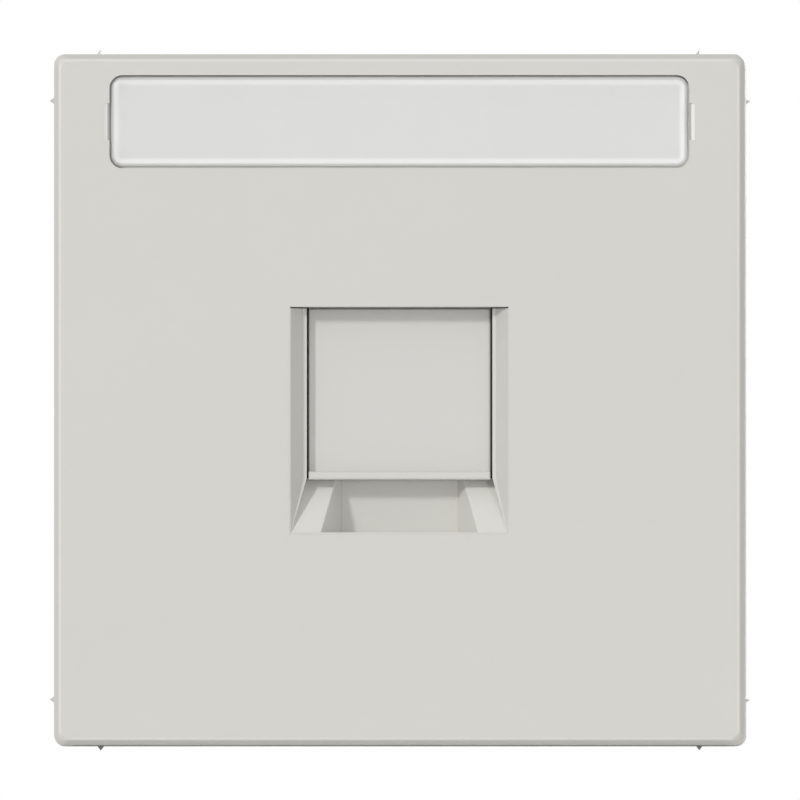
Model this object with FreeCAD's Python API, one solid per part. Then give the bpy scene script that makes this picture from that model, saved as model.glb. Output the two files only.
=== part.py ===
import FreeCAD, Part
import math
import os
from FreeCAD import Vector

# Square cover plate for one modular data outlet, with a label field and a sliding dust shutter.
# Millimetres. X to the right, Z up, and the front faces -Y. The origin is the centre of the rear rim.
# Depths are counted from the front face towards the wall.

# Cover plate
plate_side = 70.0
plate_depth = 11.0
corner_radius = 1.1
side_draft = 0.15
bevel_width = 0.55
bevel_depth = 0.8
bevel_round = 0.3
front_wall = 2.0
skirt_wall = 1.8
nub_from_corner = 4.75
nub_base = 0.8
nub_height = 0.4
nub_length = 5.0
nub_lead = 1.5
nub_from_rim = 1.0

# Label field: recess, clear window and card
label_from_side = 5.75
label_from_top = 2.27
label_height = 9.39
label_corner = 1.3
label_recess = 1.75
label_floor = 1.15
label_wall = 1.2
notch_width = 0.55
notch_height = 3.7
notch_rim = 0.04
notch_depth = 0.3
window_gap = 0.12
window_set_back = 0.05
window_edge = 0.6
window_rim = 0.75
window_seat_play = 0.03
leg_thick = 0.6
leg_width = 3.0
leg_reach = 0.7
leg_play = 0.15
card_thick = 0.25
card_corner = 0.4
card_play = 0.06
card_edge_play = 0.15

# Dust shutter
shutter_width = 18.34
shutter_gap = 0.2
shutter_bottom = -8.08
shutter_overlap = 1.5
shutter_lift = 15.0
panel_play = 0.3
panel_thick = 1.1
panel_round = 0.15
panel_rise = 0.3
head_step = 0.5
side_web = 0.9
lip_height = 0.83
lip_reach = 1.46
lip_round = 0.22
wing_thick = 0.9
wing_play = 0.1
wing_inset = 0.5
ear_height = 2.0
ear_play = 0.2
stop_play = 0.06

# Outlet opening, ramps and latch groove
opening_top = 9.33
opening_bottom = -13.6
opening_edge = 0.06
top_slit = 0.13
side_spread = 1.29
cheek_width = 0.34
cheek_depth = 1.98
ramp_step = 1.06
ramp_play = 0.12
groove_floor_width = 11.7
groove_depth = 5.75
groove_flare = 0.37
groove_end = 0.2
groove_edge = 0.12
groove_wall = 1.3

# Rails, spring channels and springs
rail_behind = 2.2
guide_wall = 1.5
channel_width = 2.7
channel_wall = 1.0
channel_stop = 1.5
spring_length = 25.5
spring_diameter = 2.3
spring_wire = 0.2
spring_turns = 14
spring_turn_gap = 0.02
spring_seat_play = 0.03
peg_play = 0.15
peg_length = 1.5

# Shutter retainer
retainer_thick = 1.3
retainer_corner = 1.0
retainer_overhang = 1.4
retainer_rib = 0.8
retainer_rib_end = 1.5
jack_play = 0.35
jack_sill = 0.88
jack_guide_wall = 1.2
jack_guide_from_rim = 1.2
slot_width = 1.4
slot_end = 3.0
lug_wall = 0.75
lug_hole_play = 0.2

# Retainer screws and their bosses
screw_diameter = 2.0
screw_length = 4.6
screw_tip = 0.8
screw_tip_radius = 0.3
screw_head_diameter = 3.8
screw_head_height = 1.4
screw_head_side = 0.6
screw_cross_length = 2.2
screw_cross_width = 0.5
screw_cross_depth = 0.8
boss_wall = 1.4
boss_play = 0.05
boss_overlap = 0.3
boss_upper = 16.0
boss_lower = -5.0

# Snap hooks and stiffening ribs
hook_inset = 4.2
hook_height = 14.0
hook_width = 6.0
hook_thick = 1.5
hook_tip = 1.0
hook_nose = 0.9
hook_lead = 0.95
hook_flat = 0.5
hook_catch = 0.5
hook_from_rim = 0.8
hook_root = 0.8
hook_root_height = 1.6
rib_thick = 1.0
rib_height = 2.0
side_rib_height = 5.0
lower_rib_offset = 9.0

# Helpers for cuts and joins: a sunk overlap, and how far a cutter runs past a face
overlap = 0.1
past = 1.0

# Values that follow from the sizes above
half_side = plate_side / 2
inner_half = half_side - skirt_wall
nub_offset = half_side - nub_from_corner

label_half = half_side - label_from_side
label_centre = half_side - label_from_top - label_height / 2
label_bottom = label_centre - label_height / 2
label_back = label_recess + label_floor
window_half_width = label_half - window_gap
window_half_height = label_height / 2 - window_gap
window_corner = label_corner - window_gap
window_back = label_recess - window_seat_play
pane_back = label_recess - card_thick - card_play
leg_centre = window_half_width - window_rim + leg_thick / 2

shutter_half = shutter_width / 2
panel_depth = label_back + panel_play
panel_bottom = shutter_bottom + panel_rise
panel_top = opening_top - top_slit
rail_inner = shutter_half + shutter_gap
cheek_outer = rail_inner + cheek_width
opening_half = cheek_outer + side_spread
rail_outer = opening_half + guide_wall
rail_back = panel_depth + rail_behind
wing_front = rail_back + wing_play
wing_back = wing_front + wing_thick
retainer_front = wing_back + wing_play
retainer_back = retainer_front + retainer_thick
shutter_top = opening_top + shutter_overlap
ramp_top = panel_bottom - ramp_play
ramp_depth = panel_depth + ramp_step
groove_bottom = opening_bottom + groove_end
guide_bottom = opening_bottom - groove_wall

channel_outer = rail_outer + channel_width
channel_edge = channel_outer + channel_wall
spring_x = rail_outer + channel_width / 2
spring_depth = (front_wall + retainer_front) / 2
peg_radius = spring_diameter / 2 - spring_wire - peg_play
ear_bottom = shutter_bottom + lip_height / 2
ear_top = ear_bottom + ear_height
spring_top = ear_top + spring_length + 2 * spring_seat_play
top_stop = shutter_top + shutter_lift + stop_play
bottom_stop = ear_bottom - stop_play

jack_half = groove_floor_width / 2 + groove_wall + jack_play
jack_bottom = shutter_bottom + jack_sill
retainer_top = top_stop + channel_stop
retainer_bottom = bottom_stop - retainer_overhang
boss_radius = screw_diameter / 2 + boss_wall
boss_x = channel_edge + boss_radius - boss_overlap
lug_radius = screw_head_diameter / 2 + lug_wall
screw_places = [(side * boss_x, z) for side in (-1, 1) for z in (boss_lower, boss_upper)]


def place(x, depth, z):
    """A point in the part's own frame, from its depth behind the front face."""
    return Vector(x, depth - plate_depth, z)


def block(x, depth, z):
    """Box between two values of x, of depth and of z."""
    return Part.makeBox(x[1] - x[0], depth[1] - depth[0], z[1] - z[0], place(x[0], depth[0], z[0]))


def polygon(corners):
    """Closed outline through these points."""
    return Part.makePolygon(corners + corners[:1])


def rectangle(half_width, low_z, high_z, depth):
    """Closed rectangle, parallel to the front face."""
    points = [(-half_width, low_z), (half_width, low_z), (half_width, high_z), (-half_width, high_z)]
    return polygon([place(x, depth, z) for x, z in points])


def outline(half_width, half_height, radius, depth, centre_z=0.0):
    """Closed rounded rectangle, parallel to the front face."""
    arcs = []
    for sign_x, sign_z, start in ((1, 1, 0), (-1, 1, 90), (-1, -1, 180), (1, -1, 270)):
        x = sign_x * (half_width - radius)
        z = centre_z + sign_z * (half_height - radius)
        angles = [math.radians(start + turn) for turn in (0, 45, 90)]
        arcs.append([place(x + radius * math.cos(a), depth, z + radius * math.sin(a)) for a in angles])
    edges = []
    for arc, following in zip(arcs, arcs[1:] + arcs[:1]):
        edges.append(Part.Arc(*arc).toShape())
        edges.append(Part.makeLine(arc[-1], following[0]))
    return Part.Wire(edges)


def slab(wire, thickness):
    """Solid from an outline, going back from it."""
    return Part.Face(wire).extrude(Vector(0, thickness, 0))


def section(points, low_z, high_z):
    """Solid from points of x and depth, standing between two heights."""
    face = Part.Face(polygon([place(x, depth, low_z) for x, depth in points]))
    return face.extrude(Vector(0, 0, high_z - low_z))


def loft(wires):
    """Solid with straight walls between outlines."""
    return Part.makeLoft(wires, True, True)


def pin(radius, x, z, front, back):
    """Round pin or hole that runs from one depth to another."""
    return Part.makeCylinder(radius, back - front, place(x, front, z), Vector(0, 1, 0))


def peg(foot_z, direction):
    """Peg inside the end of a spring, sunk a little into the face that it stands on."""
    foot = place(spring_x, spring_depth, foot_z - direction * overlap)
    return Part.makeCylinder(peg_radius, peg_length + overlap, foot, Vector(0, 0, direction))


def mirrored(shape):
    """The same shape on the other side of the middle."""
    return shape.mirror(Vector(0, 0, 0), Vector(1, 0, 0))


def pair(shape):
    """The shape and its mirror image."""
    return [shape, mirrored(shape)]


def join(shapes):
    """One clean solid from shapes that touch or overlap."""
    return shapes[0].multiFuse(shapes[1:]).removeSplitter()


def cut(shape, cutters):
    """The shape with all the cutters taken away."""
    return shape.cut(Part.makeCompound(cutters)).removeSplitter()


def same(value, wanted):
    """True if two lengths are the same."""
    return abs(value - wanted) < 1e-4


def at_depth(point, depth):
    """True if a point lies at this depth."""
    return same(point.y + plate_depth, depth)


def edges_where(shape, test):
    """The edges whose two ends and middle all pass a test."""
    found = []
    for edge in shape.Edges:
        middle = edge.valueAt((edge.FirstParameter + edge.LastParameter) / 2)
        if all(test(point) for point in [middle] + [vertex.Point for vertex in edge.Vertexes]):
            found.append(edge)
    return found


def edges_at_depth(shape, depth):
    """The edges that lie wholly at one depth."""
    return edges_where(shape, lambda point: at_depth(point, depth))


def drafted(at_face, at_bottom, bottom, depth):
    """Where a drafted wall is at a depth, from its place at the face and at the bottom."""
    return at_face + (at_bottom - at_face) * depth / bottom


# Cover plate
def plate_shell():
    """Skirt and front wall, with drafted sides and a bevelled front edge."""
    front_half = half_side - side_draft
    face_half = front_half - bevel_width
    body = loft([
        outline(half_side, half_side, corner_radius, plate_depth),
        outline(front_half, front_half, corner_radius, bevel_depth),
        outline(face_half, face_half, corner_radius, 0.0),
    ])
    body = body.makeFillet(bevel_round, edges_at_depth(body, 0.0))
    hollow = slab(outline(inner_half, inner_half, corner_radius, front_wall), plate_depth)
    return body.cut(hollow)


def centring_nubs():
    """Triangular ribs on all four sides, with a tapered lead at the front."""
    back = plate_depth - nub_from_rim
    front = back - nub_length
    flank = half_side - side_draft
    half = nub_base / 2

    def ring(crest, depth):
        points = [(-half, flank - overlap), (half, flank - overlap)]
        points += [(half, flank), (0, crest), (-half, flank)]
        return polygon([place(x, depth, z) for x, z in points])

    crest = half_side + nub_height
    rib = loft([ring(crest, front + nub_lead), ring(crest, back)])
    lead = loft([ring(flank + side_draft / 2, front), ring(crest, front + nub_lead)])
    nubs = []
    for quarter in range(4):
        for offset in (-nub_offset, nub_offset):
            nub = join([rib, lead]).translated(Vector(offset, 0, 0))
            nub.rotate(Vector(0, 0, 0), Vector(0, 1, 0), 90 * quarter)
            nubs.append(nub)
    return nubs


def label_box():
    """Thicker stretch of the front wall that carries the label recess."""
    half = label_half + label_wall
    return block((-half, half), (front_wall - overlap, label_back),
                 (label_bottom - label_wall, inner_half + overlap))


def label_cuts():
    """Recess for card and window, sloped nail notches at its ends and slots for the window's legs."""
    recess = slab(outline(label_half, label_height / 2, label_corner, -past, label_centre),
                  past + label_recess)
    notch_edge = label_half + notch_width
    notch = section([(label_half - overlap, -past), (notch_edge, -past), (notch_edge, notch_rim),
                     (label_half, notch_depth), (label_half - overlap, notch_depth)],
                    label_centre - notch_height / 2, label_centre + notch_height / 2)
    half_thick = leg_thick / 2 + leg_play
    half_width = leg_width / 2 + leg_play
    slot = block((leg_centre - half_thick, leg_centre + half_thick),
                 (label_recess - overlap, label_back + past),
                 (label_centre - half_width, label_centre + half_width))
    return [recess] + pair(notch) + pair(slot)


def level(half, z):
    """Closed outline at one height, from the points of x and depth of its right half."""
    points = half + [(-x, depth) for x, depth in reversed(half)]
    return polygon([place(x, depth, z) for x, depth in points])


def pocket_cutters():
    """Pocket in front of the shutter, and its tapering end over the ramps.

    The drafted side walls end in narrow cheeks along the shutter. Below the shutter, walls, cheeks and ramps
    all taper off to the lower corners of the mouth.
    """
    mouth = (drafted(opening_half, cheek_outer, cheek_depth, -past), -past)
    corner = (opening_half, 0.0)
    walls = [mouth, (cheek_outer, cheek_depth)]
    bay = [(rail_inner, cheek_depth), (rail_inner, ramp_depth)]
    pocket = loft([level(walls + bay, ramp_top), level(walls + bay, opening_top)])
    beside_walls = loft([level([mouth, corner], opening_bottom), level(walls, ramp_top)])
    over_ramps = loft([level([(opening_half, -past), corner], opening_bottom),
                       level([(rail_inner, -past), (rail_inner, ramp_depth)], ramp_top)])
    return [pocket, beside_walls, over_ramps]


def opening_cutter():
    """Outlet opening with a slightly bevelled mouth, and a narrow slit all along its top."""
    def ring(depth):
        grow = opening_edge - depth
        return rectangle(opening_half + grow, opening_bottom - grow, opening_top + grow, depth)

    mouth = loft([ring(-past), ring(opening_edge)])
    slit = block((-opening_half, opening_half), (0.0, ramp_depth), (panel_top, opening_top))
    return join(pocket_cutters() + [mouth, slit])


def groove_cutter():
    """Groove in the middle of the ramps, with flaring sides and a flat floor."""
    floor_half = groove_floor_width / 2
    half = [(floor_half + groove_flare * (groove_depth + past), -past), (floor_half, groove_depth)]
    return loft([level(half, groove_bottom), level(half, jack_bottom + past)])


def guide_stock():
    """Solid stock behind the front wall: rails, ramps, groove, spring channels, stops and bosses."""
    front = front_wall - overlap
    to_retainer = (front, retainer_front)
    groove_half = groove_floor_width / 2 + groove_wall
    channel_bottom = bottom_stop - channel_stop
    channel_top = spring_top + channel_stop
    ramps = block((-rail_outer, rail_outer), (front, wing_back), (guide_bottom, ramp_top))
    groove = block((-groove_half, groove_half), (front, groove_depth + groove_wall),
                   (guide_bottom, jack_bottom))
    stop = block((-rail_outer, rail_outer), to_retainer, (top_stop, retainer_top))
    rail = block((rail_inner, rail_outer), (front, rail_back), (ramp_top - overlap, retainer_top))
    channel = block((channel_outer, channel_edge), to_retainer, (channel_bottom, channel_top))
    across = (rail_outer - overlap, channel_edge)
    upper = block(across, to_retainer, (spring_top, channel_top))
    lower = block(across, to_retainer, (channel_bottom, bottom_stop))
    shapes = [ramps, groove, stop]
    for shape in (rail, channel, upper, lower, peg(spring_top, -1)):
        shapes += pair(shape)
    return shapes + [pin(boss_radius, x, z, *to_retainer) for x, z in screw_places]


def snap_hooks():
    """Four bending arms that clip on to the support frame behind the plate."""
    inner = inner_half - hook_inset
    outer = inner + hook_thick
    nose = inner - hook_nose
    front = front_wall - overlap
    root = front_wall + hook_root_height
    end = plate_depth - hook_from_rim
    lead = end - hook_lead
    points = [(inner - hook_root, front), (outer + hook_root, front), (outer, root), (outer, end)]
    points += [(outer - hook_tip, end), (nose, lead), (nose, lead - hook_flat)]
    points += [(inner, lead - hook_flat - hook_catch), (inner, root)]
    hooks = []
    for z in (-hook_height, hook_height):
        hooks += pair(section(points, z - hook_width / 2, z + hook_width / 2))
    return hooks


def stiffening_ribs():
    """Low ribs between the guides and the skirt."""
    depths = (front_wall - overlap, front_wall + rib_height)
    half = rib_thick / 2
    side = block((channel_edge - overlap, inner_half + overlap), depths,
                 (side_rib_height - half, side_rib_height + half))
    low = block((lower_rib_offset - half, lower_rib_offset + half), depths,
                (-inner_half - overlap, guide_bottom + overlap))
    return pair(side) + pair(low)


def make_cover_plate():
    """The whole moulding."""
    stock = join([plate_shell(), label_box()] + guide_stock() + snap_hooks() + stiffening_ribs())
    body = cut(stock, [opening_cutter()])
    bay = block((-rail_inner, rail_inner), (front_wall, retainer_front), (ramp_top, jack_bottom + past))
    bore_radius = screw_diameter / 2 + boss_play
    bore_end = retainer_back - screw_length - screw_tip
    bores = [pin(bore_radius, x, z, bore_end, plate_depth) for x, z in screw_places]
    body = cut(body, [groove_cutter()])

    def on_groove_edge(point):
        depth = point.y + plate_depth
        on_ramp = same(depth, drafted(0.0, ramp_depth, ramp_top - opening_bottom, point.z - opening_bottom))
        reach = groove_floor_width / 2 + groove_flare * (groove_depth - depth)
        return on_ramp and same(abs(point.x), reach)

    body = body.makeFillet(groove_edge, edges_where(body, on_groove_edge))
    body = cut(body, [bay] + label_cuts() + bores)
    return join([body] + centring_nubs())


# Label window and card
def make_label_window():
    """Clear cover with rounded edges, a pocket for the card and two snap legs."""
    pane = slab(outline(window_half_width, window_half_height, window_corner, window_set_back, label_centre),
                window_back - window_set_back)
    pane = pane.makeFillet(min(window_edge, 0.95 * window_corner), edges_at_depth(pane, window_set_back))
    pocket = slab(outline(window_half_width - window_rim, window_half_height - window_rim, card_corner,
                          pane_back, label_centre), label_recess)
    leg = block((leg_centre - leg_thick / 2, leg_centre + leg_thick / 2), (pane_back, label_back + leg_reach),
                (label_centre - leg_width / 2, label_centre + leg_width / 2))
    return join([cut(pane, [pocket])] + pair(leg))


def make_label_card():
    """Flat card that lies on the floor of the recess."""
    inset = window_rim + card_edge_play
    return slab(outline(window_half_width - inset, window_half_height - inset, card_corner,
                        label_recess - card_thick, label_centre), card_thick)


# Dust shutter
def make_dust_shutter():
    """Front panel with a grip lip and a set-back head, with side wings and an ear for each spring."""
    lip_front = panel_depth - lip_reach
    across = (-shutter_half, shutter_half)
    lip = block(across, (lip_front, panel_depth + overlap), (shutter_bottom, shutter_bottom + lip_height))
    lip = lip.makeFillet(lip_round, edges_at_depth(lip, lip_front))
    panel = block(across, (panel_depth, wing_back), (panel_bottom, panel_top))
    panel = panel.makeFillet(panel_round, edges_at_depth(panel, panel_depth))
    head = block(across, (panel_depth + head_step, wing_back), (panel_top - overlap, shutter_top))
    inner = shutter_half - side_web
    hollow = block((-inner, inner), (panel_depth + panel_thick, plate_depth),
                   (panel_bottom + side_web, panel_top - side_web))
    root = shutter_half - overlap
    ear_end = channel_outer - ear_play
    wing = block((root, rail_outer - wing_inset), (wing_front, wing_back), (ear_bottom, shutter_top))
    arm = block((root, ear_end), (wing_front, wing_back), (ear_bottom, ear_top))
    ear = block((rail_outer + ear_play, ear_end), (spring_depth - spring_diameter / 2, wing_back),
                (ear_bottom, ear_top))
    shapes = [panel.cut(hollow), lip, head]
    for shape in (wing, arm, ear, peg(ear_top, 1)):
        shapes += pair(shape)
    return join(shapes)


def make_spring():
    """Round-wire compression spring with one closed turn at each end."""
    radius = (spring_diameter - spring_wire) / 2
    closed = spring_wire + spring_turn_gap
    open_length = spring_length - spring_wire - 2 * closed
    edges = []
    height = 0.0
    for rise, turns in ((closed, 1), (open_length, spring_turns), (closed, 1)):
        edges += Part.makeHelix(rise / turns, rise, radius).translated(Vector(0, 0, height)).Edges
        height += rise
    round_section = Part.Wire(Part.makeCircle(spring_wire / 2, Vector(radius, 0, 0), Vector(0, 1, 0)))
    coil = Part.Wire(edges).makePipeShell([round_section], True, True)
    return coil.translated(place(spring_x, spring_depth, ear_top + spring_seat_play + spring_wire / 2))


# Shutter retainer and its screws
def retainer_plate():
    """Flat plate over the rails, open at the bottom for the groove, with rounded outer corners."""
    depths = (retainer_front, retainer_back)
    top = block((-channel_edge, channel_edge), depths, (opening_top, retainer_top))
    leg = block((jack_half, channel_edge), depths, (retainer_bottom, opening_top + overlap))
    plate = join([top] + pair(leg))

    def on_outer_corner(point):
        at_end = same(point.z, retainer_top) or same(point.z, retainer_bottom)
        return at_end and same(abs(point.x), channel_edge)

    return plate.makeFillet(retainer_corner, edges_where(plate, on_outer_corner))


def retainer_lugs():
    """Round lugs for the screws, bridged to the edge of the plate."""
    depths = (retainer_front, retainer_back)
    lugs = []
    for x, z in screw_places:
        edge = math.copysign(channel_edge - overlap, x)
        lugs.append(pin(lug_radius, x, z, *depths))
        lugs.append(block(sorted((edge, x)), depths, (z - lug_radius, z + lug_radius)))
    return lugs


def make_shutter_retainer():
    """Frame that keeps the shutter on its rails, with a guide for the jack's nose and spring slots."""
    guide_edge = jack_half + jack_guide_wall
    guide_top = opening_top + jack_guide_wall
    guide_depths = (retainer_back - overlap, plate_depth - jack_guide_from_rim)
    side = block((jack_half, guide_edge), guide_depths, (jack_bottom, guide_top))
    across = block((-guide_edge, guide_edge), guide_depths, (opening_top, guide_top))
    rib = block((jack_half, guide_edge), (retainer_back - overlap, retainer_back + retainer_rib),
                (guide_top - overlap, retainer_top - retainer_rib_end))
    body = join([retainer_plate(), across] + pair(side) + pair(rib) + retainer_lugs())
    through = (retainer_front - past, retainer_back + past)
    slot = block((spring_x - slot_width / 2, spring_x + slot_width / 2), through,
                 (ear_top + slot_end, spring_top - slot_end))
    holes = [pin(screw_diameter / 2 + lug_hole_play, x, z, *through) for x, z in screw_places]
    return cut(body, pair(slot) + holes)


def make_screw(x, z):
    """Pan-head self-tapping screw with a cross recess, driven from the back."""
    radius = screw_diameter / 2
    head_radius = screw_head_diameter / 2
    seat = retainer_back - plate_depth
    tip = seat - screw_length
    rim = seat + screw_head_side
    crown = seat + screw_head_height
    dome_radius = ((crown - rim) ** 2 + head_radius ** 2) / (2 * (crown - rim))
    points = [(0, tip), (screw_tip_radius, tip), (radius, tip + screw_tip), (radius, seat)]
    points += [(head_radius, seat), (head_radius, rim)]
    corners = [Vector(r, y, 0) for r, y in points]
    halfway = head_radius / 2
    dome = Vector(halfway, crown - dome_radius + math.sqrt(dome_radius ** 2 - halfway ** 2), 0)
    top = Vector(0, crown, 0)
    edges = [Part.makeLine(a, b) for a, b in zip(corners, corners[1:])]
    edges += [Part.Arc(corners[-1], dome, top).toShape(), Part.makeLine(top, corners[0])]
    body = Part.Face(Part.Wire(edges)).revolve(Vector(0, 0, 0), Vector(0, 1, 0), 360)
    sides = (screw_cross_length, screw_cross_width)
    bars = [Part.makeBox(a, screw_cross_depth + past, b, Vector(-a / 2, crown - screw_cross_depth, -b / 2))
            for a, b in (sides, sides[::-1])]
    return body.cut(join(bars)).translated(Vector(x, 0, z))


right_spring = make_spring()
parts = {
    "cover_plate": make_cover_plate(),
    "label_window": make_label_window(),
    "label_card": make_label_card(),
    "dust_shutter": make_dust_shutter(),
    "shutter_spring_right": right_spring,
    "shutter_spring_left": mirrored(right_spring),
    "shutter_retainer": make_shutter_retainer(),
    "retainer_screws": Part.makeCompound([make_screw(x, z) for x, z in screw_places]),
}

os.makedirs("parts", exist_ok=True)
for name, shape in parts.items():
    shape.exportStep("parts/" + name + ".step")
    print(name, "solids", len(shape.Solids), "valid", shape.isValid(), "volume", round(shape.Volume, 2))
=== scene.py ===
# %% [markdown]
# # A wall plate with a label window and a dust shutter
#
# This lesson dresses a small moulded wall plate. The solids come from the imported model: a light grey
# cover plate, a clear label window with a card behind it, a shutter that slides up against two coil
# springs, and a black retainer with four screws at the back. Blender adds what makes such an object look
# real: the finish of each plastic, the drawn wire of the springs, the marks that a mould leaves, and the
# light, with some highlights and shade painted into the colours of the plate and the window.

import math

import bpy
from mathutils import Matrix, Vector


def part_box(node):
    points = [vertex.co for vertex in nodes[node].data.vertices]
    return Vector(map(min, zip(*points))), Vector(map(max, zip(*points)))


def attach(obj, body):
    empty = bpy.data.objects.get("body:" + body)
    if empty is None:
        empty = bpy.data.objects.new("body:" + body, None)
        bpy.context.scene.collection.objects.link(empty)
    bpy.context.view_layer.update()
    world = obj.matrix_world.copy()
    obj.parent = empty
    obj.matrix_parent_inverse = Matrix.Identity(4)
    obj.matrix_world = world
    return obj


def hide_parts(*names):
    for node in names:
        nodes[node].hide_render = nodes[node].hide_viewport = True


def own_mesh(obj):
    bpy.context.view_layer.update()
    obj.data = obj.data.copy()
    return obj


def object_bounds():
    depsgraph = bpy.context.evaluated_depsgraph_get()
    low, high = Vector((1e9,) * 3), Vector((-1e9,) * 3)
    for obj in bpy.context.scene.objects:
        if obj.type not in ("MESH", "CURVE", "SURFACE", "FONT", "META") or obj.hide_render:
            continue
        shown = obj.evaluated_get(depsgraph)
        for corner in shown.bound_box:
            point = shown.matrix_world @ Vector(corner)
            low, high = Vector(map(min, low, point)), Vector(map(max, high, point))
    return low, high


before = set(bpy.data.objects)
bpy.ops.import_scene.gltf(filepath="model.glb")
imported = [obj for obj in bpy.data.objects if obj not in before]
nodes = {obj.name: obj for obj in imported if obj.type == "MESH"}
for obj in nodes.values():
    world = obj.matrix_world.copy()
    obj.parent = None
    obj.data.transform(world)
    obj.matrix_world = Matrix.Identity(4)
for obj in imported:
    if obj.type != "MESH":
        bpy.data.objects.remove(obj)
cad_low, cad_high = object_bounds()
MM = 0.001
FACE_Y = cad_low.y
FLOOR_Z = cad_low.z
print("solids:", sorted(nodes))
print("size in mm:", [round(v / MM, 2) for v in cad_high - cad_low])

# %% [markdown]
# ## The camera
#
# The plate is seen from straight in front, as in a catalogue, with hardly any perspective. An orthographic
# camera would give that too, but a very long lens from far away is easier to turn round the object later.
# The camera stands a touch to the right, so that the left wall of the opening shows a little more than the
# right one, and it stands level with the floor.

# %% Camera
CAMERA_AZIMUTH = math.radians(0.5)
CAMERA_DISTANCE = 3.8
CAMERA_ABOVE_FLOOR = 0.5 * MM
AIM = Vector((-0.03 * MM, 0.0, 0.05 * MM))
FRAME_WIDTH = 80.93 * MM
SENSOR = 36.0

eye = AIM + CAMERA_DISTANCE * Vector((math.sin(CAMERA_AZIMUTH), -math.cos(CAMERA_AZIMUTH), 0.0))
eye.z = FLOOR_Z + CAMERA_ABOVE_FLOOR
bpy.ops.object.select_all(action="DESELECT")
bpy.ops.object.camera_add(location=eye, rotation=(AIM - eye).to_track_quat("-Z", "Y").to_euler())
camera = bpy.context.object
camera.name = "front_camera"
camera.data.sensor_width = SENSOR
camera.data.lens = SENSOR * CAMERA_DISTANCE / FRAME_WIDTH
camera.data.clip_start = 0.1
camera.data.clip_end = 10.0
bpy.context.scene.camera = camera
bpy.context.scene.view_settings.view_transform = "Standard"
print("lens in mm:", round(camera.data.lens, 1))

# %% [markdown]
# ## Light
#
# A product like this is shown under a big white dome with one lamp that is stronger. The dome fills the
# shadows. The key lamp comes from the upper left in front, so the lip of the shutter and the edge of the
# opening throw their short shadows to the right and down. It is small for its distance, which keeps these
# shadows crisp. A weak fill lamp stands low on the right, close to the camera, so that the walls that turn
# away from the key and the space under the lip are not dull. A third lamp stands behind the plate, for the
# views from there.

# %% Lamps
def add_lamp(name, direction, distance, size, power):
    """A round area lamp that shines on the middle of the face from a direction."""
    towards = Vector(direction).normalized()
    place = Vector((0.0, FACE_Y, 0.0)) + distance * towards
    turn = towards.to_track_quat("Z", "Y").to_euler()
    bpy.ops.object.light_add(type="AREA", location=place, rotation=turn)
    lamp = bpy.context.object
    lamp.name = name
    lamp.data.shape = "DISK"
    lamp.data.size = size
    lamp.data.energy = power
    print(name, "at", [round(v, 3) for v in place])


add_lamp("key_light", direction=(-0.72, -1.0, 0.47), distance=1.6, size=0.19, power=8.9)
add_lamp("fill_light", direction=(0.35, -1.0, 0.03), distance=1.3, size=0.12, power=2.1)
add_lamp("back_light", direction=(0.3, 1.0, 0.4), distance=0.9, size=0.6, power=3.2)

# %% [markdown]
# ## Joining nodes
#
# Materials and the world are trees of nodes. Three small helpers keep the later cells short: one joins two
# sockets, one feeds a socket from a number or from another socket, and one adds a sum.

# %% Node helpers
def wire(tree, start, end):
    """Join an output socket to an input socket."""
    tree.links.new(start, end)


def feed(tree, source, socket):
    """Join a socket to an input socket, or set the input to a plain value."""
    if isinstance(source, bpy.types.NodeSocket):
        wire(tree, source, socket)
    else:
        socket.default_value = source


def math_node(tree, operation, *values):
    """One sum on values that are numbers or sockets."""
    node = tree.nodes.new("ShaderNodeMath")
    node.operation = operation
    for value, socket in zip(values, node.inputs):
        feed(tree, value, socket)
    return node.outputs[0]


print("ready: joined sockets and sums")

# %% [markdown]
# ## The dome
#
# The dome is the world itself. It is stronger in front than behind, as if most of the lamps stood there.
# The dot product of the direction with a leaning vector gives that slope in one step. Only the light
# follows it: a ray that looks straight at the dome sees plain white.

# %% World
DOME_STRENGTH = 0.375
DOME_LEAN = (0.0, -0.85, 0.15)


def seen_directly(tree):
    """A value of 1 for rays from the camera, from gloss and through clear plastic, and 0 for the light."""
    path = tree.nodes.new("ShaderNodeLightPath").outputs
    camera_or_gloss = math_node(tree, "MAXIMUM", path["Is Camera Ray"], path["Is Glossy Ray"])
    return math_node(tree, "MAXIMUM", camera_or_gloss, path["Is Transmission Ray"])


world = bpy.data.worlds.new("white_dome")
bpy.context.scene.world = world
world.use_nodes = True
sky = world.node_tree
background = sky.nodes["Background"]
background.inputs["Color"].default_value = (1.0, 1.0, 1.0, 1.0)
lean = sky.nodes.new("ShaderNodeVectorMath")
lean.operation = "DOT_PRODUCT"
lean.inputs[1].default_value = DOME_LEAN
wire(sky, sky.nodes.new("ShaderNodeTexCoord").outputs["Generated"], lean.inputs[0])
dome = sky.nodes.new("ShaderNodeMapRange")
wire(sky, math_node(sky, "MULTIPLY_ADD", lean.outputs["Value"], DOME_STRENGTH, DOME_STRENGTH),
     dome.inputs["To Min"])
dome.inputs["To Max"].default_value = 1.0
wire(sky, seen_directly(sky), dome.inputs["Value"])
wire(sky, dome.outputs["Result"], background.inputs["Strength"])
print("dome strength for light:", DOME_STRENGTH)

# %% [markdown]
# ## Floor
#
# The plate stands on its lower edge on a white table. The table has to melt into the white background and
# still carry the shadow. So the camera sees the lit colour of the table plus some glow that lifts it to
# white.

# %% Floor
FLOOR_SIDE = 0.7
FLOOR_WHITE = (0.9, 0.9, 0.9, 1.0)
FLOOR_GLOW = 0.47

bpy.ops.object.select_all(action="DESELECT")
bpy.ops.mesh.primitive_plane_add(size=FLOOR_SIDE, location=(0.0, 0.0, FLOOR_Z))
floor = bpy.context.object
floor.name = "table"

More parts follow.
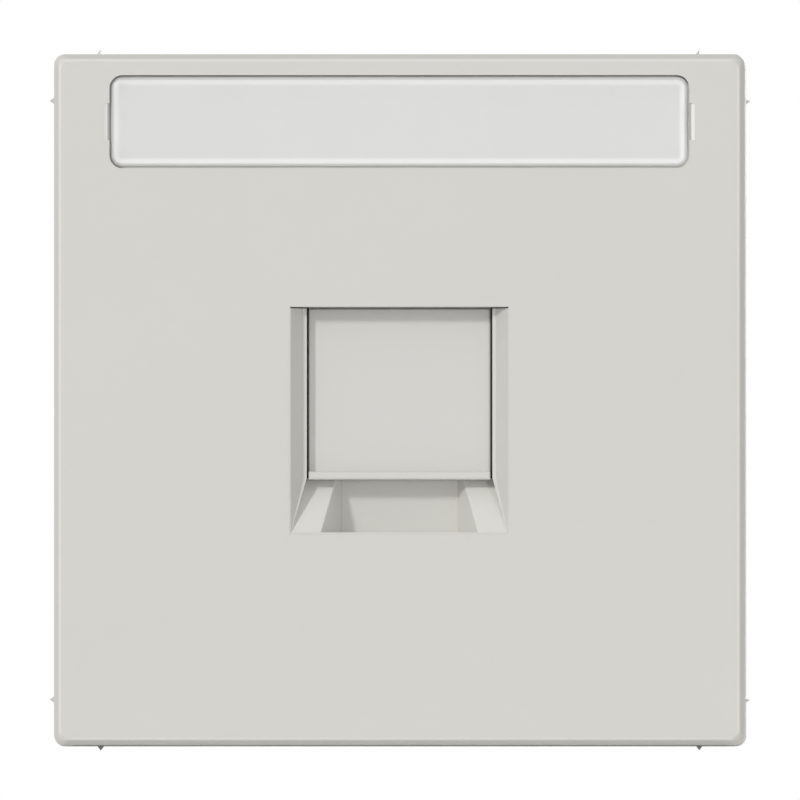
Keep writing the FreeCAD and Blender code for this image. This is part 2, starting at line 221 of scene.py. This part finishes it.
table_finish = bpy.data.materials.new("white_table")
table_finish.use_nodes = True
tree = table_finish.node_tree
tree.nodes.remove(tree.nodes["Principled BSDF"])
paint = tree.nodes.new("ShaderNodeBsdfDiffuse")
paint.inputs["Color"].default_value = FLOOR_WHITE
glow = tree.nodes.new("ShaderNodeEmission")
wire(tree, math_node(tree, "MULTIPLY", seen_directly(tree), FLOOR_GLOW), glow.inputs["Strength"])
both = tree.nodes.new("ShaderNodeAddShader")
wire(tree, paint.outputs[0], both.inputs[0])
wire(tree, glow.outputs[0], both.inputs[1])
wire(tree, both.outputs[0], tree.nodes["Material Output"].inputs["Surface"])
floor.data.materials.append(table_finish)
print("table at z in mm:", round(FLOOR_Z / MM, 2))

# %% [markdown]
# ## A skin for moulded plastic
#
# The mould of a plate like this is spark-eroded, so the plastic has a very fine, even grain that breaks up
# the gloss. The colour drifts by a percent or two where the melt flowed. All four plastics share this, so
# it becomes a node group with named sockets. The group gives out only what changes over the surface:
# colour, roughness and height. What is constant stays on each shader.

# %% Helpers for groups
COLOUR, NUMBER, VECTOR = "NodeSocketColor", "NodeSocketFloat", "NodeSocketVector"
NOISE_LOW, NOISE_HIGH = 0.3, 0.7


def make_group(name, inputs, outputs):
    """An empty shader node group with named sockets. Returns the tree, its inlets and its outlets."""
    group = bpy.data.node_groups.new(name, "ShaderNodeTree")
    for title, kind in inputs:
        group.interface.new_socket(name=title, in_out="INPUT", socket_type=kind)
    for title, kind in outputs:
        group.interface.new_socket(name=title, in_out="OUTPUT", socket_type=kind)
    return group, group.nodes.new("NodeGroupInput").outputs, group.nodes.new("NodeGroupOutput").inputs


def add_noise(tree, vector, scale, detail):
    """A noise texture on given coordinates. Its scale is a number or a socket."""
    noise = tree.nodes.new("ShaderNodeTexNoise")
    noise.inputs["Detail"].default_value = detail
    wire(tree, vector, noise.inputs["Vector"])
    feed(tree, scale, noise.inputs["Scale"])
    return noise.outputs["Fac"]


def spread(tree, value, low, high):
    """Stretch the middle of a noise to a range. The ends of the range are numbers or sockets."""
    stretch = tree.nodes.new("ShaderNodeMapRange")
    stretch.inputs["From Min"].default_value = NOISE_LOW
    stretch.inputs["From Max"].default_value = NOISE_HIGH
    wire(tree, value, stretch.inputs["Value"])
    feed(tree, low, stretch.inputs["To Min"])
    feed(tree, high, stretch.inputs["To Max"])
    return stretch.outputs["Result"]


def mix_colours(tree, mask, first, second):
    """The first colour where a mask is 0 and the second where it is 1. Colours are values or sockets."""
    mix = tree.nodes.new("ShaderNodeMix")
    mix.data_type = "RGBA"
    wire(tree, mask, mix.inputs["Factor"])
    feed(tree, first, mix.inputs["A"])
    feed(tree, second, mix.inputs["B"])
    return mix.outputs["Result"]


print("ready: groups, noise from", NOISE_LOW, "to", NOISE_HIGH, "and mixed colours")

# %% Group: moulded skin
FLOW_SCALE = 45.0
PATCH_SCALE = 130.0

moulded_skin, inlet, outlet = make_group(
    "moulded_skin",
    [("Vector", VECTOR), ("Colour", COLOUR), ("Flow colour", COLOUR), ("Grain scale", NUMBER),
     ("Smoothest", NUMBER), ("Roughest", NUMBER)],
    [("Colour", COLOUR), ("Roughness", NUMBER), ("Height", NUMBER)],
)
flow = spread(moulded_skin, add_noise(moulded_skin, inlet["Vector"], FLOW_SCALE, detail=2.0), 0.0, 1.0)
wire(moulded_skin, mix_colours(moulded_skin, flow, inlet["Colour"], inlet["Flow colour"]), outlet["Colour"])
patch = add_noise(moulded_skin, inlet["Vector"], PATCH_SCALE, detail=4.0)
wire(moulded_skin, spread(moulded_skin, patch, inlet["Smoothest"], inlet["Roughest"]), outlet["Roughness"])
wire(moulded_skin, add_noise(moulded_skin, inlet["Vector"], inlet["Grain scale"], detail=3.0),
     outlet["Height"])
print("group made:", moulded_skin.name)

# %% [markdown]
# ## The plastics
#
# Plate, shutter and retainer are made of the same kind of plastic in two colours. The plate and the shutter
# have the same light grey, and the shutter is a little smoother because it comes from a smaller, polished
# mould. The retainer sits in the dark and is black, as such inner parts often are.

# %% Helpers for materials
def new_material(name):
    """A fresh node material. Returns it with its tree and the inputs of its Principled shader."""
    material = bpy.data.materials.new(name)
    material.use_nodes = True
    return material, material.node_tree, material.node_tree.nodes["Principled BSDF"].inputs


def object_coordinates(tree):
    """The coordinates of the piece itself, in metres."""
    return tree.nodes.new("ShaderNodeTexCoord").outputs["Object"]


def place_group(tree, group, values):
    """Place a group on the coordinates of the piece, with its own values. Returns its outputs."""
    placed = tree.nodes.new("ShaderNodeGroup")
    placed.node_tree = group
    for title, value in values.items():
        placed.inputs[title].default_value = value
    wire(tree, object_coordinates(tree), placed.inputs["Vector"])
    return placed.outputs


def add_bump(tree, shader, height, depth, strength):
    """Turn a height into a normal for a shader."""
    bump = tree.nodes.new("ShaderNodeBump")
    bump.inputs["Distance"].default_value = depth
    bump.inputs["Strength"].default_value = strength
    wire(tree, height, bump.inputs["Height"])
    wire(tree, bump.outputs["Normal"], shader["Normal"])


def dress(node, material):
    """Give a CAD node its finish."""
    slots = nodes[node].data.materials
    slots.clear()
    slots.append(material)
    print(node, "wears", material.name)


print("ready: materials for", len(nodes), "nodes")

# %% Moulded plastics
GRAIN_DEPTH = 0.02 * MM
PLASTIC_SHINE = 0.4


def moulded_plastic(name, colour, flow_colour, grain_scale, smoothest, roughest, grain_strength):
    """A plastic with the moulded skin and its own colour, grain and gloss."""
    material, tree, shader = new_material(name)
    skin = place_group(tree, moulded_skin, {
        "Colour": (*colour, 1.0), "Flow colour": (*flow_colour, 1.0), "Grain scale": grain_scale,
        "Smoothest": smoothest, "Roughest": roughest,
    })
    wire(tree, skin["Colour"], shader["Base Color"])
    wire(tree, skin["Roughness"], shader["Roughness"])
    add_bump(tree, shader, skin["Height"], GRAIN_DEPTH, grain_strength)
    shader["Specular IOR Level"].default_value = PLASTIC_SHINE
    return material


plate_grey = moulded_plastic(
    "plate_grey", colour=(0.645, 0.637, 0.604), flow_colour=(0.635, 0.627, 0.593),
    grain_scale=7000.0, smoothest=0.38, roughest=0.46, grain_strength=0.2)
shutter_grey = moulded_plastic(
    "shutter_grey", colour=(0.645, 0.64, 0.61), flow_colour=(0.637, 0.632, 0.602),
    grain_scale=9000.0, smoothest=0.36, roughest=0.44, grain_strength=0.15)
retainer_black = moulded_plastic(
    "retainer_black", colour=(0.03, 0.03, 0.032), flow_colour=(0.036, 0.036, 0.037),
    grain_scale=5000.0, smoothest=0.4, roughest=0.55, grain_strength=0.4)
dress("cover_plate", plate_grey)
dress("dust_shutter", shutter_grey)
dress("shutter_retainer", retainer_black)

# %% [markdown]
# ## Distance from the edge
#
# Both the plate and its window get painted light along their outline: a painted highlight round the face
# of the plate, and a painted highlight and painted shade round the window. A painted mask would need a map
# of the surface. It is simpler to work out how far a point lies inside a rounded rectangle, with a few sums
# on its coordinates. Two materials use it, so it is a group.

# %% Group: edge inset
def split_axes(tree, vector):
    """The X, Y and Z of a vector as three sockets."""
    parts = tree.nodes.new("ShaderNodeSeparateXYZ")
    wire(tree, vector, parts.inputs["Vector"])
    return parts.outputs["X"], parts.outputs["Y"], parts.outputs["Z"]


edge_inset, inlet, outlet = make_group(
    "edge_inset",
    [("Vector", VECTOR), ("Middle", VECTOR), ("Half width", NUMBER), ("Half height", NUMBER),
     ("Corner", NUMBER)],
    [("Inset", NUMBER)],
)
from_middle = edge_inset.nodes.new("ShaderNodeVectorMath")
from_middle.operation = "SUBTRACT"
wire(edge_inset, inlet["Vector"], from_middle.inputs[0])
wire(edge_inset, inlet["Middle"], from_middle.inputs[1])
across, _, up = split_axes(edge_inset, from_middle.outputs["Vector"])
past, bend = [], []
for place, half in ((across, inlet["Half width"]), (up, inlet["Half height"])):
    straight = math_node(edge_inset, "SUBTRACT", half, inlet["Corner"])
    over = math_node(edge_inset, "SUBTRACT", math_node(edge_inset, "ABSOLUTE", place), straight)
    past.append(over)
    bend.append(math_node(edge_inset, "POWER", math_node(edge_inset, "MAXIMUM", over, 0.0), 2.0))
in_corner = math_node(edge_inset, "SQRT", math_node(edge_inset, "ADD", *bend))
inside = math_node(edge_inset, "MINIMUM", math_node(edge_inset, "MAXIMUM", *past), 0.0)
inset = math_node(edge_inset, "SUBTRACT", inlet["Corner"], math_node(edge_inset, "ADD", in_corner, inside))
wire(edge_inset, inset, outlet["Inset"])


def inset_on(tree, node, corner):
    """The edge group placed for a flat node that faces the front."""
    low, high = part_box(node)
    half = (high - low) / 2
    return place_group(tree, edge_inset, {
        "Middle": (low + high) / 2, "Half width": half.x, "Half height": half.z, "Corner": corner,
    })["Inset"]


print("group made:", edge_inset.name)

# %% [markdown]
# ## Painted highlights and shade on the plate
#
# The two ramps and the sides of the groove below the shutter are painted a little lighter than the rest,
# as a painted highlight. The two notches beside the label window are painted lighter too, as a painted
# highlight, and the deep end of each notch is painted darker, as painted shade in the gap beside the
# window. The rounded edge round the face gets a thin painted highlight. Masks in the plate's own
# coordinates find the places: each one is a product of soft steps. The ramps lie below the shutter, behind
# the face, in front of the floor of the groove, and between the two cheeks, which slant outwards on their
# way down.

# %% Helpers for masks
def soft_step(tree, value, full, none):
    """A mask of 1 up to one level of a value and 0 from another level on, with a soft step between."""
    mask = tree.nodes.new("ShaderNodeMapRange")
    mask.interpolation_type = "SMOOTHERSTEP"
    mask.inputs["From Min"].default_value = none
    mask.inputs["From Max"].default_value = full
    wire(tree, value, mask.inputs["Value"])
    return mask.outputs["Result"]


def between(tree, value, rise, fall):
    """A mask that rises to 1 over one span of a value, in mm, and falls back to 0 over a later span."""
    up = soft_step(tree, value, full=rise[1] * MM, none=rise[0] * MM)
    down = soft_step(tree, value, full=fall[0] * MM, none=fall[1] * MM)
    return math_node(tree, "MULTIPLY", up, down)


def all_of(tree, *masks):
    """The product of some masks: 1 only where each of them is 1."""
    result = masks[0]
    for mask in masks[1:]:
        result = math_node(tree, "MULTIPLY", result, mask)
    return result


print("ready: soft masks")

# %% Painted highlights and shade
CHEEK_SLANT = 0.32
NOTCH_Z = 28.1 * MM
PLATE_CORNER = 1.5 * MM
# The ramp grey is a painted highlight: the ramps and the sides of the groove are painted lighter.
RAMP_PAINTED_HIGHLIGHT = (0.715, 0.706, 0.67, 1.0)
# The notch grey is a painted highlight: the floors of the two notches are painted lighter.
NOTCH_PAINTED_HIGHLIGHT = (0.8, 0.79, 0.755, 1.0)
# The darker grey at the deep end of each notch is painted shade, for the gap beside the window.
NOTCH_END_PAINTED_SHADE = (0.44, 0.435, 0.41, 1.0)
# The edge grey is a painted highlight along the rounded edge round the face.
EDGE_PAINTED_HIGHLIGHT = (0.71, 0.701, 0.666, 1.0)

tree = plate_grey.node_tree
base_colour = tree.nodes["Principled BSDF"].inputs["Base Color"]
x, y, z = split_axes(tree, object_coordinates(tree))
aside = math_node(tree, "ABSOLUTE", x)
depth = math_node(tree, "SUBTRACT", y, FACE_Y)
slanted = math_node(tree, "ADD", aside, math_node(tree, "MULTIPLY", z, CHEEK_SLANT))
# Mask of the painted highlight on the ramps and the sides of the groove.
on_ramps = all_of(
    tree,
    soft_step(tree, slanted, full=6.64 * MM, none=6.79 * MM),
    between(tree, z, rise=(-13.6, -13.4), fall=(-8.0, -7.6)),
    between(tree, depth, rise=(0.02, 0.3), fall=(5.45, 5.7)),
)
from_notch = math_node(tree, "ABSOLUTE", math_node(tree, "SUBTRACT", z, NOTCH_Z))
# Mask of the painted highlight in the notches.
in_notches = all_of(
    tree,
    between(tree, aside, rise=(28.9, 29.0), fall=(30.0, 30.1)),
    soft_step(tree, from_notch, full=2.0 * MM, none=2.1 * MM),
    between(tree, depth, rise=(0.01, 0.06), fall=(1.2, 1.4)),
)
# Mask of the painted shade at the deep end of each notch.
deep_end = all_of(tree, in_notches, soft_step(tree, aside, full=29.4 * MM, none=29.5 * MM))
# Mask of the painted highlight on the edge round the face.
on_edge = all_of(
    tree,
    between(tree, inset_on(tree, "cover_plate", PLATE_CORNER), rise=(0.95, 1.05), fall=(1.2, 1.35)),
    soft_step(tree, depth, full=0.3 * MM, none=0.5 * MM),
)
painted_light_layers = [(on_ramps, RAMP_PAINTED_HIGHLIGHT), (in_notches, NOTCH_PAINTED_HIGHLIGHT), (deep_end, NOTCH_END_PAINTED_SHADE), (on_edge, EDGE_PAINTED_HIGHLIGHT)]
colour = base_colour.links[0].from_socket
for mask, grey in painted_light_layers:
    colour = mix_colours(tree, mask, colour, grey)
wire(tree, colour, base_colour)
print(plate_grey.name, "has", len(painted_light_layers), "places of painted highlight and shade")

# %% [markdown]
# ## The clear window
#
# The window is a clear moulding about one and a half millimetres thick, with a milky tint and a satin
# surface that hides scratches. So about a third of the light that meets it goes on to the card, and the
# rest comes back. It has the moulded skin of the plastics, without their bump. Its rim, where it stands on
# the floor of the recess, is twice as thick; it is painted whiter as a painted highlight, and its rounded
# border is painted greyer as painted shade: the distance from the edge gives the masks for both. Tracing
# light through the window is slow and noisy, so shadow rays go straight through, and all other rays see
# the plastic.

# %% Clear plastic
WINDOW_CORNER = 1.18 * MM
# The rim white is a painted highlight on the window's rim.
RIM_PAINTED_HIGHLIGHT = (0.92, 0.92, 0.915, 1.0)
# The border grey is painted shade on the window's rounded border.
BORDER_PAINTED_SHADE = (0.72, 0.72, 0.71, 1.0)

window_clear, tree, shader = new_material("window_clear")
shader["IOR"].default_value = 1.49
shader["Transmission Weight"].default_value = 0.3
skin = place_group(tree, moulded_skin, {
    "Colour": (0.76, 0.76, 0.757, 1.0), "Flow colour": (0.75, 0.75, 0.747, 1.0),
    "Smoothest": 0.3, "Roughest": 0.36,
})
wire(tree, skin["Roughness"], shader["Roughness"])
inset = inset_on(tree, "label_window", WINDOW_CORNER)
# Mask of the painted highlight on the rim.
rim = soft_step(tree, inset, full=0.55 * MM, none=1.1 * MM)
# Mask of the painted shade on the border.
border = soft_step(tree, inset, full=0.28 * MM, none=0.42 * MM)
colour = mix_colours(tree, rim, skin["Colour"], RIM_PAINTED_HIGHLIGHT)
wire(tree, mix_colours(tree, border, colour, BORDER_PAINTED_SHADE), shader["Base Color"])
by_ray = tree.nodes.new("ShaderNodeMixShader")
wire(tree, tree.nodes.new("ShaderNodeLightPath").outputs["Is Shadow Ray"], by_ray.inputs["Fac"])
wire(tree, tree.nodes["Principled BSDF"].outputs[0], by_ray.inputs[1])
wire(tree, tree.nodes.new("ShaderNodeBsdfTransparent").outputs[0], by_ray.inputs[2])
wire(tree, by_ray.outputs[0], tree.nodes["Material Output"].inputs["Surface"])
dress("label_window", window_clear)

# %% [markdown]
# ## The card
#
# The card is plain white paper. Paper is never one colour: fibres show as short faint streaks, and its
# surface is slightly uneven. Stretched noise gives the fibres.

# %% Paper
FIBRE_SCALE = 2500.0
FIBRE_STRETCH = (0.35, 1.0, 1.0)
FIBRE_DEPTH = 0.02 * MM
PAPER_WHITE = (0.74, 0.74, 0.73, 1.0)
FIBRE_GREY = (0.71, 0.71, 0.7, 1.0)

card_paper, tree, shader = new_material("card_paper")
stretch = tree.nodes.new("ShaderNodeMapping")
stretch.inputs["Scale"].default_value = FIBRE_STRETCH
wire(tree, object_coordinates(tree), stretch.inputs["Vector"])
fibres = spread(tree, add_noise(tree, stretch.outputs["Vector"], FIBRE_SCALE, detail=4.0), 0.0, 1.0)
wire(tree, mix_colours(tree, fibres, PAPER_WHITE, FIBRE_GREY), shader["Base Color"])
shader["Roughness"].default_value = 0.85
shader["Specular IOR Level"].default_value = 0.2
add_bump(tree, shader, fibres, FIBRE_DEPTH, strength=0.3)
dress("label_card", card_paper)

# %% [markdown]
# ## Metal
#
# The screws are zinc plated: a cool grey with a faint mottle. The spring wire is drawn steel, warmer and
# with a finer mottle. Both are metals with a roughness that changes over the surface, so another group
# holds that.

# %% Group: metal skin
metal_skin, inlet, outlet = make_group(
    "metal_skin",
    [("Vector", VECTOR), ("Bright", COLOUR), ("Dull", COLOUR), ("Mottle scale", NUMBER),
     ("Smoothest", NUMBER), ("Roughest", NUMBER)],
    [("Colour", COLOUR), ("Roughness", NUMBER), ("Height", NUMBER)],
)
mottle = add_noise(metal_skin, inlet["Vector"], inlet["Mottle scale"], detail=3.0)
mottle = spread(metal_skin, mottle, 0.0, 1.0)
wire(metal_skin, mix_colours(metal_skin, mottle, inlet["Bright"], inlet["Dull"]), outlet["Colour"])
sheen = metal_skin.nodes.new("ShaderNodeMapRange")
wire(metal_skin, mottle, sheen.inputs["Value"])
wire(metal_skin, inlet["Smoothest"], sheen.inputs["To Min"])
wire(metal_skin, inlet["Roughest"], sheen.inputs["To Max"])
wire(metal_skin, sheen.outputs["Result"], outlet["Roughness"])
wire(metal_skin, mottle, outlet["Height"])
print("group made:", metal_skin.name)

# %% Zinc and spring steel
MOTTLE_DEPTH = 0.01 * MM


def metal(name, bright, dull, mottle_scale, smoothest, roughest):
    """A metal with the mottled skin."""
    material, tree, shader = new_material(name)
    skin = place_group(tree, metal_skin, {
        "Bright": (*bright, 1.0), "Dull": (*dull, 1.0), "Mottle scale": mottle_scale,
        "Smoothest": smoothest, "Roughest": roughest,
    })
    wire(tree, skin["Colour"], shader["Base Color"])
    wire(tree, skin["Roughness"], shader["Roughness"])
    shader["Metallic"].default_value = 1.0
    add_bump(tree, shader, skin["Height"], MOTTLE_DEPTH, strength=0.2)
    return material


screw_zinc = metal(
    "screw_zinc", bright=(0.66, 0.67, 0.69), dull=(0.55, 0.56, 0.58),
    mottle_scale=1800.0, smoothest=0.22, roughest=0.4)
spring_wire_steel = metal(
    "spring_wire_steel", bright=(0.6, 0.59, 0.57), dull=(0.48, 0.47, 0.45),
    mottle_scale=5000.0, smoothest=0.25, roughest=0.42)
dress("retainer_screws", screw_zinc)

# %% [markdown]
# ## The springs
#
# Two small compression springs push the shutter down. Each is a round wire wound in a helix, with one
# closed turn at either end so that it sits flat. By hand this is a small circle, moved out to the coil's
# radius and swept by a Screw modifier. Three sweeps are stacked: a closed turn, the open turns and another
# closed turn. They are merged where they meet, and the two cut ends of the wire are filled. The real spring
# gets shorter when the shutter goes up; here each coil is attached to the body of the plate and keeps its
# length.

# %% One run of wire
WIRE_THICKNESS = 0.2 * MM
WIRE_SIDES = 10
STEPS_PER_TURN = 22


def swept_turns(axis_x, axis_y, base_z, coil_radius, rise, turns):
    """One run of wire: a circle in edit mode, moved out and swept round the axis."""
    foot = (axis_x, axis_y, base_z)
    bpy.ops.object.select_all(action="DESELECT")
    bpy.ops.mesh.primitive_circle_add(vertices=WIRE_SIDES, radius=WIRE_THICKNESS / 2, location=foot)
    run = bpy.context.object
    bpy.ops.object.mode_set(mode="EDIT")
    bpy.ops.mesh.select_all(action="SELECT")
    bpy.ops.transform.rotate(value=math.pi / 2, orient_axis="X", center_override=foot)
    bpy.ops.transform.translate(value=(coil_radius, 0.0, 0.0))
    bpy.ops.object.mode_set(mode="OBJECT")
    sweep = run.modifiers.new("sweep", "SCREW")
    sweep.screw_offset = rise / turns
    sweep.iterations = turns
    sweep.steps = STEPS_PER_TURN
    sweep.render_steps = STEPS_PER_TURN
    sweep.use_merge_vertices = False
    bpy.ops.object.modifier_apply(modifier=sweep.name)
    return run


def join_pieces(pieces):
    """Join pieces to one mesh, with its origin at the origin of the frame."""
    bpy.ops.object.select_all(action="DESELECT")
    for piece in pieces:
        piece.select_set(True)
    bpy.context.view_layer.objects.active = pieces[0]
    bpy.ops.object.join()
    bpy.ops.object.transform_apply(location=True, rotation=True, scale=True)
    return bpy.context.object


print("ready: runs of wire,", WIRE_THICKNESS / MM, "mm thick")

# %% Springs
OPEN_TURNS = 14
CLOSED_RISE = 0.22 * MM
SEAM_GAP = 0.002 * MM
SPRING_SMOOTH = math.radians(40.0)


def wind_spring(node):
    """The whole spring, in the place of a CAD spring."""
    low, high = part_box(node)
    length = high.z - low.z
    middle = (low + high) / 2
    coil_radius = (high.x - low.x) / 2 - WIRE_THICKNESS / 2
    open_rise = length - WIRE_THICKNESS - 2 * CLOSED_RISE
    height = low.z + WIRE_THICKNESS / 2
    runs = []
    for rise, turns in ((CLOSED_RISE, 1), (open_rise, OPEN_TURNS), (CLOSED_RISE, 1)):
        runs.append(swept_turns(middle.x, middle.y, height, coil_radius, rise, turns))
        height += rise
    spring = join_pieces(runs)
    bpy.ops.object.mode_set(mode="EDIT")
    bpy.ops.mesh.select_all(action="SELECT")
    bpy.ops.mesh.remove_doubles(threshold=SEAM_GAP)
    bpy.ops.mesh.select_all(action="DESELECT")
    bpy.ops.mesh.select_mode(type="EDGE")
    bpy.ops.mesh.select_non_manifold()
    bpy.ops.mesh.fill_holes(sides=0)
    bpy.ops.mesh.select_all(action="SELECT")
    bpy.ops.mesh.normals_make_consistent(inside=False)
    bpy.ops.object.mode_set(mode="OBJECT")
    bpy.ops.object.shade_smooth_by_angle(angle=SPRING_SMOOTH)
    spring.name = node + "_coil"
    spring.data.materials.clear()
    spring.data.materials.append(spring_wire_steel)
    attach(spring, "plate")
    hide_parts(node)
    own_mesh(spring)
    return spring


for side in ("left", "right"):
    coil = wind_spring("shutter_spring_" + side)
    print(coil.name, "faces", len(coil.data.polygons))

# %% [markdown]
# ## What the mould leaves
#
# A moulding is pushed out of its tool by round pins, and each pin leaves a faint round print on the inside.
# Nobody sees these from the front, but from behind they make the plate look like a real moulding. One print
# is a disc that is raised, inset and bevelled, and it is then copied to each place.

# %% One ejector print
PRINT_SIDES = 40
PRINT_SINK = 0.05 * MM
# The rim is a share of a print's radius. The dish and the bevel are shares of its height.
PRINT_RIM = 0.25
PRINT_DISH = 0.6
PRINT_BEVEL = 0.3


def ejector_print(radius, height):
    """One round print with a dished middle, standing on a floor that faces +Y, at the origin."""
    bpy.ops.object.select_all(action="DESELECT")
    bpy.ops.mesh.primitive_circle_add(vertices=PRINT_SIDES, radius=radius, fill_type="NGON")
    disc = bpy.context.object
    bpy.ops.object.mode_set(mode="EDIT")
    bpy.ops.mesh.select_all(action="SELECT")
    bpy.ops.transform.rotate(value=math.pi / 2, orient_axis="X", center_override=(0, 0, 0))
    bpy.ops.transform.translate(value=(0.0, -PRINT_SINK, 0.0))
    bpy.ops.mesh.extrude_region_move(TRANSFORM_OT_translate={"value": (0.0, PRINT_SINK + height, 0.0)})
    bpy.ops.mesh.inset(thickness=PRINT_RIM * radius, depth=0.0)
    bpy.ops.transform.translate(value=(0.0, -PRINT_DISH * height, 0.0))
    bpy.ops.mesh.select_all(action="SELECT")
    bpy.ops.mesh.normals_make_consistent(inside=False)
    bpy.ops.object.mode_set(mode="OBJECT")
    soften = disc.modifiers.new("soften", "BEVEL")
    soften.width = PRINT_BEVEL * height
    soften.segments = 2
    bpy.ops.object.modifier_apply(modifier=soften.name)
    return disc


print("ready: prints with", PRINT_SIDES, "sides")

# %% Ejector prints
PRINT_SMOOTH = math.radians(30.0)
PLATE_FLOOR_Y = FACE_Y + 2.0 * MM
RETAINER_BACK_Y = FACE_Y + 7.8 * MM
PLATE_PRINTS = [(x, z) for x in (-24.0, 24.0) for z in (-29.0, -4.0, 18.0)]
PLATE_PRINTS += [(-15.0, -24.0), (0.0, -24.0), (15.0, -24.0)]
RETAINER_PRINTS = [(-11.5, 24.0), (0.0, 24.0), (11.5, 24.0), (-4.5, 14.0), (4.5, 14.0)]


def set_out(pattern, places, floor_y, name, body, material):
    """Copy a pattern to places in mm, each copy with its own mesh, and join them to one piece."""
    copies = []
    for x, z in places:
        copy = pattern.copy()
        copy.data = pattern.data.copy()
        bpy.context.collection.objects.link(copy)
        copy.location = (x * MM, floor_y, z * MM)
        copies.append(copy)
    bpy.data.objects.remove(pattern)
    piece = join_pieces(copies)
    piece.name = name
    piece.data.materials.clear()
    piece.data.materials.append(material)
    bpy.ops.object.shade_smooth_by_angle(angle=PRINT_SMOOTH)
    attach(piece, body)
    print(name, "at", len(places), "places")


set_out(ejector_print(radius=1.6 * MM, height=0.08 * MM), PLATE_PRINTS, PLATE_FLOOR_Y,
        "plate_ejector_prints", "plate", plate_grey)
set_out(ejector_print(radius=1.1 * MM, height=0.06 * MM), RETAINER_PRINTS, RETAINER_BACK_Y,
        "retainer_ejector_prints", "plate", retainer_black)
